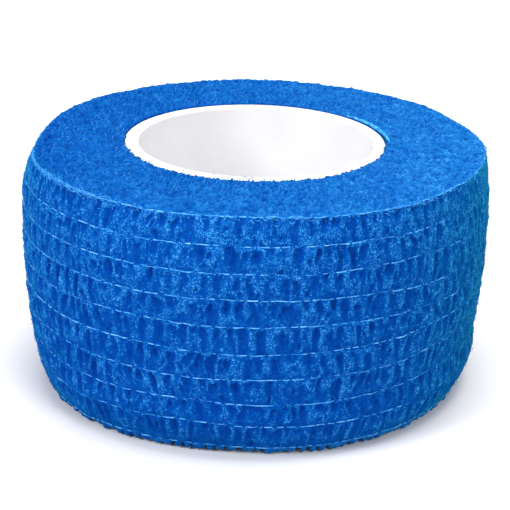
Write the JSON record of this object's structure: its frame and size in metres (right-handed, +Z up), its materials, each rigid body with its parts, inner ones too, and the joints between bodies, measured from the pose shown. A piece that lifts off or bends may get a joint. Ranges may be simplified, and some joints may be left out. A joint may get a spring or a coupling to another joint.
{
  "type": "cohesive bandage roll",
  "caption": "Narrow roll of crimped elastic cohesive bandage wound on a white plastic core tube, standing on its flat end.",
  "frame": {"origin": "middle of the roll's outline, on the flat lower end that it stands on", "axes": "+Z up along the winding axis; -Y towards the picture's camera and +X to its right"},
  "size_m": [0.049, 0.0506, 0.025],
  "materials": {
    "bandage": "matt royal blue nonwoven with crimped bands, fine fibre specks and thin pale blue elastic threads",
    "core_plastic": "smooth satin white moulded plastic"
  },
  "bodies": {
    "root": {"bandage_roll": "bandage", "core": "core_plastic"}
  },
  "joints": []
}
